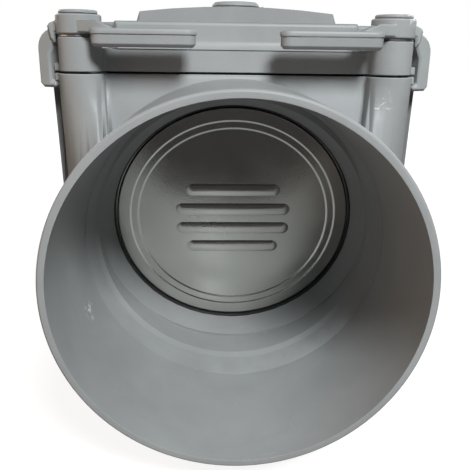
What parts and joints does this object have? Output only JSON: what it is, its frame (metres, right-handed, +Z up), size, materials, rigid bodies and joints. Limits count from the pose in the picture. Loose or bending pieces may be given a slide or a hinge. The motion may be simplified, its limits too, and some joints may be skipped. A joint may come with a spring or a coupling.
{
  "type": "drain odour trap valve",
  "caption": "Grey plastic drain valve with round inlet and outlet spigots, a box chamber with a lever-locked lid, and a tilted stainless flap hinged at the top that closes by its own weight.",
  "frame": {"origin": "on the floor under the middle of the valve, halfway between the two spigot mouths", "axes": "+Y along the flow from inlet to outlet, +Z up through the lid, +X across"},
  "size_m": [0.1866, 0.342, 0.2099],
  "materials": {
    "grey_plastic": "injection moulded, semi-gloss",
    "black_rubber": "plain moulded",
    "stainless_steel": "bright rolled sheet",
    "zinc_plated_steel": "zinc plated"
  },
  "bodies": {
    "valve": {"valve_body": "grey_plastic", "seat_seal": "black_rubber", "lid": "grey_plastic", "lid_gasket": "black_rubber", "lid_plug": "grey_plastic", "plug_o_ring": "black_rubber", "hinge_pin": "stainless_steel", "pin_retainer_left": "grey_plastic", "pin_retainer_right": "grey_plastic", "lever_screw_front_left": "grey_plastic", "lever_screw_front_right": "grey_plastic", "lever_screw_rear_left": "grey_plastic", "lever_screw_rear_right": "grey_plastic", "lever_washer_front_left": "zinc_plated_steel", "lever_washer_front_right": "zinc_plated_steel", "lever_washer_rear_left": "zinc_plated_steel", "lever_washer_rear_right": "zinc_plated_steel"},
    "flap": {"flap_plate": "stainless_steel", "flap_bracket": "stainless_steel", "flap_nut_left": "zinc_plated_steel", "flap_nut_right": "zinc_plated_steel"},
    "front_left_lever": {"lever_front_left": "grey_plastic"},
    "front_right_lever": {"lever_front_right": "grey_plastic"},
    "rear_left_lever": {"lever_rear_left": "grey_plastic"},
    "rear_right_lever": {"lever_rear_right": "grey_plastic"}
  },
  "joints": [
    {"name": "flap_hinge", "type": "hinge", "parent": "valve", "child": "flap", "pos_m": [0, -0.06688, 0.17382], "axis": [1, 0, 0], "range_deg": [0, 70]},
    {"name": "front_left_turn", "type": "hinge", "parent": "valve", "child": "front_left_lever", "pos_m": [-0.0727, -0.09702, 0.1983], "axis": [0, 0, -1], "range_deg": [0, 65]},
    {"name": "front_right_turn", "type": "hinge", "parent": "valve", "child": "front_right_lever", "pos_m": [0.0727, -0.09702, 0.1983], "axis": [0, 0, 1], "range_deg": [0, 65]},
    {"name": "rear_left_turn", "type": "hinge", "parent": "valve", "child": "rear_left_lever", "pos_m": [-0.0727, 0.09302, 0.1983], "axis": [0, 0, 1], "range_deg": [0, 65]},
    {"name": "rear_right_turn", "type": "hinge", "parent": "valve", "child": "rear_right_lever", "pos_m": [0.0727, 0.09302, 0.1983], "axis": [0, 0, -1], "range_deg": [0, 65]}
  ]
}
